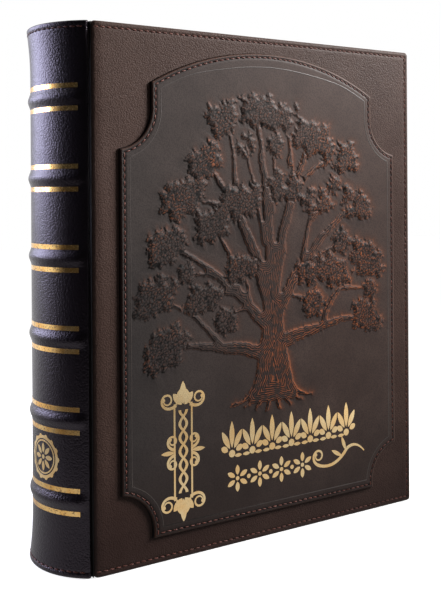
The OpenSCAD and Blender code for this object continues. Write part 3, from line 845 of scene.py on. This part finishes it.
def panel_path(inset):
    """Points of the panel's outline at an inset, from the middle of its bottom edge and back to it."""
    r = NOTCH_R + inset
    side = PANEL_W / 2 - inset
    bottom = PANEL_Z0 + inset
    step_u = NOTCH_X - r
    foot_u = NOTCH_X - math.sqrt(r**2 - (bottom - NOTCH_LOW_Z) ** 2)
    notch_rise = math.sqrt(r**2 - (NOTCH_X - side) ** 2)
    low_end = math.degrees(math.atan2(notch_rise, side - NOTCH_X))
    low_start = math.degrees(math.atan2(bottom - NOTCH_LOW_Z, foot_u - NOTCH_X))
    arch = ARCH_R - inset
    arch_end = math.degrees(math.asin(step_u / arch))
    half = [(0, bottom), (foot_u, bottom)]
    half += arc((NOTCH_X, NOTCH_LOW_Z), r, low_start % 360, low_end, 30)
    half += arc((NOTCH_X, NOTCH_HIGH_Z), r, 360 - low_end, 180, 30)
    half += arc((0, ARCH_Z), arch, 90 - arch_end, 90, 60)
    half = np.array(half)
    mirrored = half[-2::-1] * (-1, 1)
    return np.concatenate([half, mirrored]) + (PANEL_CX, 0)


def cad_relief(x, z):
    """How far the CAD panel's face stands out from the panel at each grid point."""
    mesh = bpy.data.objects["front_panel_leather"].data
    tree = BVHTree.FromPolygons([v.co for v in mesh.vertices], [list(p.vertices) for p in mesh.polygons])
    face_y = side_y(FRONT, HALF_T + PANEL_T)
    start_y = (face_y - 20) * MM
    out = np.zeros(x.size)
    for k, (px, pz) in enumerate(zip(x.ravel(), z.ravel())):
        hit = tree.ray_cast((px * MM, start_y, pz * MM), (0, 1, 0))[0]
        if hit is not None:
            out[k] = face_y - hit.y / MM
    return out.reshape(x.shape)


def mask_at(mask, at_x, at_z, x, z, pitch):
    """A mask's values, over the grid of x and z, at other places."""
    rows = np.clip(np.rint((at_z - z[0, 0]) / pitch).astype(int), 0, mask.shape[0] - 1)
    columns = np.clip(np.rint((at_x - x[0, 0]) / pitch).astype(int), 0, mask.shape[1] - 1)
    return mask[rows, columns]


def wander(x, z, reach, cell, seed):
    return reach * (value_noise(x, z, cell, seed) - 0.5)


def crooked(x, z, seed):
    """A slow wander with a finer one on it."""
    return wander(x, z, 1.8, 12.0, seed) + wander(x, z, 0.8, 3.0, seed + 1)


def spot(x, z, centre_x, centre_z, half_w, half_h):
    """A soft spot that fades from 1 at its centre, which is counted from the panel's middle in X."""
    return np.exp(-(((x - PANEL_CX - centre_x) / half_w) ** 2) - (((z - centre_z) / half_h) ** 2))


def crown_point(turn, share):
    """A point of the crown: its turn from straight up, and its share of the way out from the middle."""
    t = math.radians(turn)
    return TREE_X + share * CROWN_HALF_W * math.sin(t), CROWN_Z + share * CROWN_RISE * math.cos(t)


def bough(x, z, start, bend, end, start_w, end_w):
    """The points of a bough along a curve, which narrows from its start to its end."""
    found = np.zeros(x.shape, bool)
    for t in np.linspace(0, 1, 36):
        px, pz = [(1 - t) ** 2 * a + 2 * t * (1 - t) * b + t * t * c for a, b, c in zip(start, bend, end)]
        found |= np.hypot(x - px, z - pz) < (start_w + (end_w - start_w) * t) / 2
    return found


def main_boughs(x, z):
    """The seven main limbs, where the CAD tree has them, also where leaves lie over them."""
    foot_w, tip_w = 11.6, 3.4
    found = np.zeros(x.shape, bool)
    for turn, leave in zip((-102, -72, -40, -8, 25, 60, 98), (0.40, 0.56, 0.78, 1.0, 0.92, 0.68, 0.46)):
        start = (TREE_X, TREE_FOOT_Z + leave * (FORK_Z - TREE_FOOT_Z))
        end = crown_point(turn, 0.96)
        bend = (start[0] + 0.4 * (end[0] - start[0]), start[1] + 0.62 * (end[1] - start[1]) + 5)
        found |= bough(x, z, start, bend, end, foot_w, tip_w)
    return found


def open_fork(leaves, limbs, x, z):
    """Clears the leaves in front of the fork, so that the boughs show where they divide."""
    clearing = np.hypot(x - PANEL_CX - 4, z - FORK_Z - 34) <= 20
    trunk_top = (np.abs(x - TREE_X) < 7.5) & (np.abs(z - FORK_Z) < 2.5)
    return leaves & ~clearing, limbs & ~trunk_top | main_boughs(x, z)


def part_top(leaves, x, z):
    """Parts the leaves along the top of the crown into masses of their own by narrow wavy gaps."""
    gap_half_w, inner_end, sway, sway_l = 1.5, 66, 2.5, 5
    for k, turn in enumerate((-13, 9, 31, 50)):
        t = math.radians(turn)
        out = (x - PANEL_CX) * math.sin(t) + (z - FORK_Z) * math.cos(t)
        off = (x - PANEL_CX) * math.cos(t) - (z - FORK_Z) * math.sin(t)
        off = np.abs(off + sway * np.sin(out / sway_l + 2 * k))
        leaves = leaves & ~((off < gap_half_w) & (out > inner_end))
    return leaves


def fill_crown(leaves, limbs, x, z, pitch):
    """Adds smaller sprays of leaves, each on a twig, in the widest bare places of the crown."""
    half_w, half_h, low_end = 84, 112, 128
    most, gap, largest, smallest = 9, 0.6, 11.0, 6.5
    crown = ((x - PANEL_CX) / half_w) ** 2 + ((z - FORK_Z) / half_h) ** 2 < 1
    open_middle = (np.abs(x - PANEL_CX) < 34) & (z < 178)
    allowed = crown & (z > low_end) & ~open_middle
    rng = np.random.RandomState(21)
    for _ in range(most):
        bare = np.where(allowed, inside_distance(~(leaves | limbs), pitch, 16), 0)
        row, column = np.unravel_index(np.argmax(bare), bare.shape)
        reach = min(bare[row, column] - gap, largest)
        if reach < smallest:
            break
        cx, cz = x[row, column], z[row, column]
        turn = np.arctan2(z - cz, x - cx)
        lobes = 1 + 0.10 * np.sin(5 * turn + rng.rand() * 6) + 0.07 * np.sin(9 * turn + rng.rand() * 6)
        leaves = leaves | (np.hypot(x - cx, z - cz) < reach * lobes)
        shares = np.linspace(0.05, 1, 60)
        row_at = np.clip((cz + shares * (FORK_Z - cz) - z[0, 0]) / pitch, 0, x.shape[0] - 1).astype(int)
        column_at = np.clip((cx + shares * (PANEL_CX - cx) - x[0, 0]) / pitch, 0, x.shape[1] - 1).astype(int)
        meets = shares[np.argmax(limbs[row_at, column_at])]
        inward = (cx + meets * (PANEL_CX - cx), cz + meets * (FORK_Z - cz))
        halfway = (0.5 * (cx + inward[0]), 0.5 * (cz + inward[1]) + 2)
        limbs = limbs | bough(x, z, (cx, cz), halfway, inward, 3.2, 4.4)
    return leaves, limbs


def tree_masks(x, z, pitch):
    """Where the leaves and the limbs lie, with ragged borders, and the mosaic that the leaves curl by."""
    out = cad_relief(x, z)
    leaves = out > (LIMB_OUT + LEAF_OUT) / 2
    limbs = (out > LIMB_OUT / 2) & ~leaves
    leaves, limbs = open_fork(leaves, limbs, x, z)
    leaves, limbs = fill_crown(leaves, limbs, x, z, pitch)
    smooth_by = 3.2
    core = inside_distance(leaves, pitch, 5) > smooth_by
    leaves = part_top(inside_distance(~core, pitch, 5) < smooth_by, x, z)
    swirl_x, swirl_z = wander(x, z, *LEAF_SWIRL, 1), wander(x, z, *LEAF_SWIRL, 2)
    depth_in, slant, centre_x, centre_z = cells(x + swirl_x, z + swirl_z, LEAF_CELL, 3)
    ragged_x = centre_x + wander(centre_x, centre_z, *LEAF_RAGGED, 11)
    ragged_z = centre_z + wander(centre_x, centre_z, *LEAF_RAGGED, 13)
    leaves = mask_at(leaves, ragged_x, ragged_z, x, z, pitch)
    limbs = mask_at(limbs, x + crooked(x, z, 15), z + crooked(x, z, 17), x, z, pitch)
    thinner = 0.2 + 0.6 * smoothstep(z, 105, 140)
    limbs = (inside_distance(limbs | leaves, pitch, 2) > thinner) & ~leaves
    return leaves, limbs, depth_in, slant


def burnish_patch(x, z):
    """How strongly each place is burnished: most at the right and the foot."""
    patch = 0.24 + 0.4 * smoothstep(value_noise(x, z, 30, 9), 0.35, 0.8)
    warm = spot(x, z, 42, 140, 42, 45)
    foot = spot(x, z, 0, 100, 36, 36)
    cool = spot(x, z, -70, 150, 45, 50)
    return np.clip(patch + 0.75 * warm + 0.6 * foot - 0.4 * cool, 0.12, 1)


def panel_relief(x, z, pitch):
    """Relief, burnish, painted highlights and painted shade of the tree, made from the CAD panel's limbs and
    leaf masses.
    """
    leaves, limbs, depth_in, slant = tree_masks(x, z, pitch)
    any_part = leaves | limbs
    leaf_in = inside_distance(leaves, pitch, 6)
    part_in = inside_distance(any_part, pitch, 13)
    near = inside_distance(~any_part, pitch, 11)
    curl = smoothstep(depth_in, 0.06, 0.34)
    leaf_out = LEAF_OUT - 0.95 + 0.15 * value_noise(x, z, 7.0, 5) + 0.14 * curl * (1 + slant)
    leaf_height = smoothstep(leaf_in, 0, 2.8) * leaf_out
    limb_height = smoothstep(part_in, 0, 1.8) * (LIMB_OUT - 0.45)
    across = part_in / 1.25 + 1.6 * value_noise(x, z, 9, 6)
    # Painted shadow on the ground beside the limbs and leaves, widest on their side away from the light.
    hollow = np.where(any_part, 0, 0.4 * np.exp(-near / 0.9) + 0.6 * np.exp(-near / 4.2))
    # Which way each edge faces the key light at the upper right, for painted highlights and painted shade.
    fall_z, fall_x = np.gradient(near - part_in, pitch)
    towards_light = np.clip(0.8 * fall_x + 0.6 * fall_z, -1, 1)
    shaded, lit = np.clip(-towards_light, 0, 1), np.clip(towards_light, 0, 1)
    shaded *= 0.25 + 0.85 * smoothstep(value_noise(x, z, 24, 22), 0.35, 0.6)
    edge = smoothstep(1.3 - part_in, 0, 1.1)
    stroke = curl * (1 - smoothstep(depth_in, 0.36, 0.8)) * smoothstep(slant, 0.0, 0.2)
    # Painted highlights on the edges that face the light, on top of the burnished leaf strokes.
    burnish_and_lit_edge = np.clip(np.where(leaves, stroke, 0.85) + 0.6 * edge * lit, 0, 1)
    # Painted shade in the creases between the leaf curls and on the edges away from the light.
    dark = np.clip(np.where(leaves, 1 - curl, 0) + 0.35 * edge * shaded, 0, 1)
    height = np.where(leaves, leaf_height, np.where(limbs, limb_height, -0.25 * hollow * (0.3 + shaded)))
    # burnish: burnish, painted highlights on lit edges and a painted glow beside them; recess: painted shade;
    # bark: bark lines, fewer on lit edges for their painted highlight.
    return height, {
        "burnish": burnish_patch(x, z) * np.where(any_part, burnish_and_lit_edge, 0.5 * lit * np.exp(-near / 1.4)),
        "recess": np.where(any_part, dark, hollow * (0.04 + 0.9 * shaded)),
        "bark": np.where(limbs, 1 - 0.7 * edge * lit, 0),
        "across": across}


def panel_level(x, z):
    inside = np.clip(panel_distance(x, z), 0, None)
    t = np.clip(inside / 1.7, 0, 1)
    level = HALF_T + PANEL_T * np.sqrt(1 - (1 - t) ** 2)
    return level - groove(inside - PANEL_STITCH_IN, 0.38, 0.85)


def panel_leather():
    """The panel's leather as a fine height field, in three pieces that share the rows where they meet."""
    pitch = 0.5
    margin = 1.5
    border = 6
    xs = np.arange(PANEL_LOW[0] - margin, PANEL_HIGH[0] + margin, pitch)
    zs = np.arange(PANEL_Z0 - margin, PANEL_Z1 + margin, pitch)
    z, x = np.meshgrid(zs, xs, indexing="ij")
    inside = panel_distance(x, z)
    slope_z, slope_x = np.gradient(inside, pitch)
    slope = np.maximum(np.hypot(slope_x, slope_z), 0.3)
    out = inside < 0
    x_on = np.where(out, x - inside * slope_x / slope**2, x)
    z_on = np.where(out, z - inside * slope_z / slope**2, z)
    height, looks = panel_relief(x, z, pitch)
    level = panel_level(x_on, z_on) + np.where(inside > border, height, 0)
    looks["burnish"] = np.clip(looks["burnish"] + np.where(inside < 1.4, 0.10, 0), 0, 1)
    # Painted shade in the panel's stitch groove and on its outer wall.
    edges = groove(inside - PANEL_STITCH_IN, 0.6, 0.9) + 1 - smoothstep(inside, 0.25, 0.8)
    looks["recess"] = np.clip(np.where(inside > border, looks["recess"], 0) + edges, 0, 1)
    cells_in = (inside[:-1, :-1] > 0) | (inside[1:, :-1] > 0) | (inside[:-1, 1:] > 0) | (inside[1:, 1:] > 0)
    points = at_level(FRONT, x_on, level, z_on)
    seams = [round(k * (len(zs) - 1) / 3) for k in range(4)]
    pieces = []
    for word, low, high in zip(("lower", "middle", "upper"), seams, seams[1:]):
        rows, columns = high - low + 1, len(xs)
        quads = np.array(grid_faces(rows, columns))
        quads = quads[cells_in[low:high].ravel()]
        used = np.unique(quads)
        part = points[low:high + 1].reshape(-1, 3)[used]
        faces = np.searchsorted(used, quads).tolist()
        obj = mesh_object(f"panel_leather_{word}", part, faces, PANEL_LEATHER, "front_cover")
        for look, values in looks.items():
            set_colour_attribute(obj, look, values[low:high + 1].ravel()[used])
        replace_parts(obj, "front_panel_leather")
        pieces.append((obj, low * columns + used))
    share_normals(pieces, points, seams[1:3])


def share_normals(pieces, points, seam_rows):
    """Gives the pieces the whole field's normals along their seams, so that no seam shows."""
    normals = np.cross(np.gradient(points, axis=1), np.gradient(points, axis=0))
    normals /= np.maximum(np.linalg.norm(normals, axis=-1), 1e-9)[..., None]
    for obj, places in pieces:
        own = np.array([n.vector for n in obj.data.vertex_normals])
        row, column = np.divmod(places, points.shape[1])
        on_seam = np.isin(row, seam_rows)
        own[on_seam] = normals[row[on_seam], column[on_seam]]
        obj.data.normals_split_custom_set_from_vertices(own.tolist())


def panel_stitches():
    path = panel_path(PANEL_STITCH_IN)
    x, z = path.T
    face_stitches("panel_stitches", FRONT, x, panel_level(x, z), z, "front_cover")


def tooled_line():
    """The blind-tooled line inside the panel's stitches, a narrow smooth ridge whose lighter leather is a
    painted highlight.
    """
    inset, drop = 6.4, 2.6
    path = panel_path(inset)
    path[:, 1] -= drop * smoothstep(path[:, 1], NOTCH_HIGH_Z + 20, NOTCH_HIGH_Z + 32)
    across = across_path(path)
    section = ((-0.34, 0.0), (-0.16, 0.07), (0.0, 0.09), (0.16, 0.07), (0.34, 0.0))
    face = HALF_T + PANEL_T
    rows = []
    for off, lift in section:
        p = path + across * off
        rows.append(at_level(FRONT, p[:, 0], face + lift, p[:, 1]))
    points = np.concatenate(rows)
    faces = grid_faces(len(section), len(path), flip=True)
    mesh_object("panel_tooled_line", points, faces, TOOLED_HIGHLIGHT_LEATHER, "front_cover")


# Pages

def page_block():
    """The pages as thin groups of sheets, with hollow fore edge and round back."""
    groups, gap, fore_play, end_play = 120, 0.03, 0.18, 0.16
    rng = np.random.RandomState(11)
    thickness = 2 * BLOCK_HALF_T / groups
    hollow = 12.0
    hollow_r = (BLOCK_HALF_T**2 + hollow**2) / (2 * hollow)
    verts, faces = [], []
    for k in range(groups):
        low = -BLOCK_HALF_T + k * thickness
        high = low + thickness - gap
        middle = (low + high) / 2
        fore = BLOCK_FORE + hollow_r - hollow - math.sqrt(hollow_r**2 - middle**2)
        back = SPINE_CX - math.sqrt(BLOCK_R**2 - middle**2)
        fore -= fore_play * rng.rand()
        tail = BLOCK_LOW[2] + end_play * rng.rand()
        head = BLOCK_HIGH[2] - end_play * rng.rand()
        start = len(verts)
        for z in (tail, head):
            verts += [(x, MID_Y + y, z) for x, y in ((back, low), (fore, low), (fore, high), (back, high))]
        for face in ((0, 3, 2, 1), (4, 5, 6, 7), (0, 1, 5, 4), (1, 2, 6, 5), (2, 3, 7, 6), (3, 0, 4, 7)):
            faces.append([start + f for f in face])
    obj = mesh_object("page_groups", verts, faces, PAGE_EDGES, "block", smooth=False)
    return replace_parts(obj, "text_block")


def head_band(name, node, z_middle):
    """A headband: silk wound round a cord in two colours."""
    reach = math.asin(BLOCK_HALF_T / BLOCK_R) - math.radians(2)
    middle_r = BLOCK_R - 1.2
    turns, per_turn, sides = 86, 4, 12
    count = turns * per_turn
    angles = np.linspace(-reach, reach, count + 1)
    ring = 2 * np.pi * np.arange(sides) / sides
    verts = []
    for k, angle in enumerate(angles):
        swell = 1.18 + 0.07 * abs(math.sin(math.pi * k / per_turn))
        verts += list(on_spine(middle_r + swell * np.cos(ring), angle, z_middle + swell * np.sin(ring)))
    faces = tube_faces(count + 1, sides)
    colours = [(k // per_turn) % 2 for k in range(count) for _ in range(sides)] + [0, 0]
    obj = mesh_object(name, verts, faces, RED_SILK, "block")
    obj.data.materials.append(CREAM_SILK)
    obj.data.polygons.foreach_set("material_index", colours)
    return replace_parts(obj, node)


def dress_frame():
    """Materials for the CAD nodes that are shown as they are."""
    materials = {"spine_lining": CLOTH, "spine_stiffener": BOARD, "front_panel_former": BOARD,
                 "spine_gold_lines": GOLD_WORN, "spine_rosette": GOLD, "front_gilding": GOLD}
    for _, word in SIDES:
        materials[f"{word}_flyleaf"] = ENDPAPER
        materials[f"{word}_pastedown"] = ENDPAPER
        materials[f"{word}_board"] = BOARD
    for k in range(len(BAND_Z)):
        materials[f"raised_band_{k + 1}"] = BOARD
    for name, material in materials.items():
        obj = bpy.data.objects[name]
        obj.data.materials.clear()
        obj.data.materials.append(material)


# Studio

def camera():
    data = bpy.data.cameras.new("camera")
    data.lens = 54.7
    data.sensor_width = 36
    data.shift_y = -0.177
    obj = add_object("camera", data)
    place = (-0.3302, -0.5142, 0.2199)
    look = Vector((0.537, 0.843, 0.0)).normalized()
    roll = math.radians(0.35)
    stand(obj, place, Quaternion(look, roll) @ look.to_track_quat("-Z", "Y"))
    data.clip_start, data.clip_end = 0.01, 50
    bpy.context.scene.camera = obj


def softbox(name, place, aim, width, height, radiance, colour, spread=180):
    data = bpy.data.lights.new(name, "AREA")
    data.spread = math.radians(spread)
    data.shape = "RECTANGLE"
    data.size, data.size_y = width, height
    data.energy = radiance * math.pi * width * height
    data.color = colour
    turn = (Vector(aim) - Vector(place)).to_track_quat("-Z", "Y")
    stand(add_object(name, data), place, turn)


def lights():
    softbox("left_softbox", (-0.725, 0.647, 0.52), (-0.1, 0.0, 0.38), 0.78, 0.60, 8.6, (0.70, 0.72, 1.0))
    softbox("back_softbox", (0.75, 0.85, 0.45), (0.0, 0.0, 0.16), 0.5, 0.5, 3.8, (1.0, 0.87, 0.70))
    softbox("key_softbox", (0.75, -0.45, 0.75), (0.0, 0.0, 0.34), 0.45, 0.45, 4.35, (1.0, 0.96, 0.94), 52)


def world():
    """White to the camera and, behind the object, to mirror-like rays. Dimmer as a lamp."""
    n = Nodes(bpy.data.worlds.new("studio"), "Background")
    bpy.context.scene.world = n.owner
    path = n.add("ShaderNodeLightPath").outputs
    side = n.rise(n.split(n.coordinates["Generated"])["Y"], 0.0, 0.5)
    mirror = n.greater(path["Is Glossy Ray"], path["Is Transmission Ray"])
    fill = n.times(n.minus(1.0, mirror), 0.14)
    n.set("Strength", n.greater(n.plus(n.times(mirror, side), fill), path["Is Camera Ray"]))
    n.set("Color", WHITE)


def floor():
    """A floor that is white to the camera and keeps the book's soft shadow. It is dark as a bounce."""
    n = surface("floor")
    n.set("Roughness", 0.9)
    n.set("Specular IOR Level", 0.0)
    n.set("Emission Color", WHITE)
    path = n.add("ShaderNodeLightPath").outputs
    position = n.add("ShaderNodeNewGeometry").outputs["Position"]
    place = n.split(position)
    away = n.add("ShaderNodeVectorMath", {0: position}, operation="LENGTH").outputs["Value"]
    far = n.rise(away, 0.30, 1.1, 0.0)
    shadowed = n.times(path["Is Camera Ray"], n.minus(1.0, far))
    n.set("Base Color", n.mix(shadowed, (0.08, 0.075, 0.07), (0.8, 0.8, 0.8)))
    behind = n.rise(place["Y"], -0.05, 0.6)
    near = n.times(n.minus(1.0, n.rise(away, 0.20, 0.50, 0.0)), 0.55)
    right = n.rise(place["X"], 0.05, 0.35)
    side = n.greater(n.greater(behind, near), right)
    mirrored = n.times(n.greater(path["Is Glossy Ray"], path["Is Transmission Ray"]), side)
    seen = n.times(path["Is Camera Ray"], n.plus(0.82, n.times(far, 0.18)))
    n.set("Emission Strength", n.greater(seen, mirrored))
    size = 3000.0
    below = -0.3
    corners = [(size * u, size * v, below) for u, v in ((-1, -1), (1, -1), (1, 1), (-1, 1))]
    mesh_object("floor", corners, [[0, 1, 2, 3]], n.owner, smooth=False)


def build():
    bpy.context.scene.view_settings.view_transform = "Standard"
    camera()
    lights()
    world()
    floor()
    dress_frame()
    for side, word in SIDES:
        cover_leather(f"{word}_cover_skin", side, f"{word}_cover_leather", f"{word}_cover")
    for side, word in SIDES:
        cover_stitches(f"{word}_cover_stitches", side, f"{word}_cover")
    spine_leather()
    spine_stitches()
    for side, word in SIDES:
        joint(side, word)
    panel_leather()
    panel_stitches()
    tooled_line()
    page_block()
    head_band("headband_silk", "headband", BLOCK_HIGH[2] + 1.3)
    head_band("tailband_silk", "tailband", BLOCK_LOW[2] - 1.3)


build()
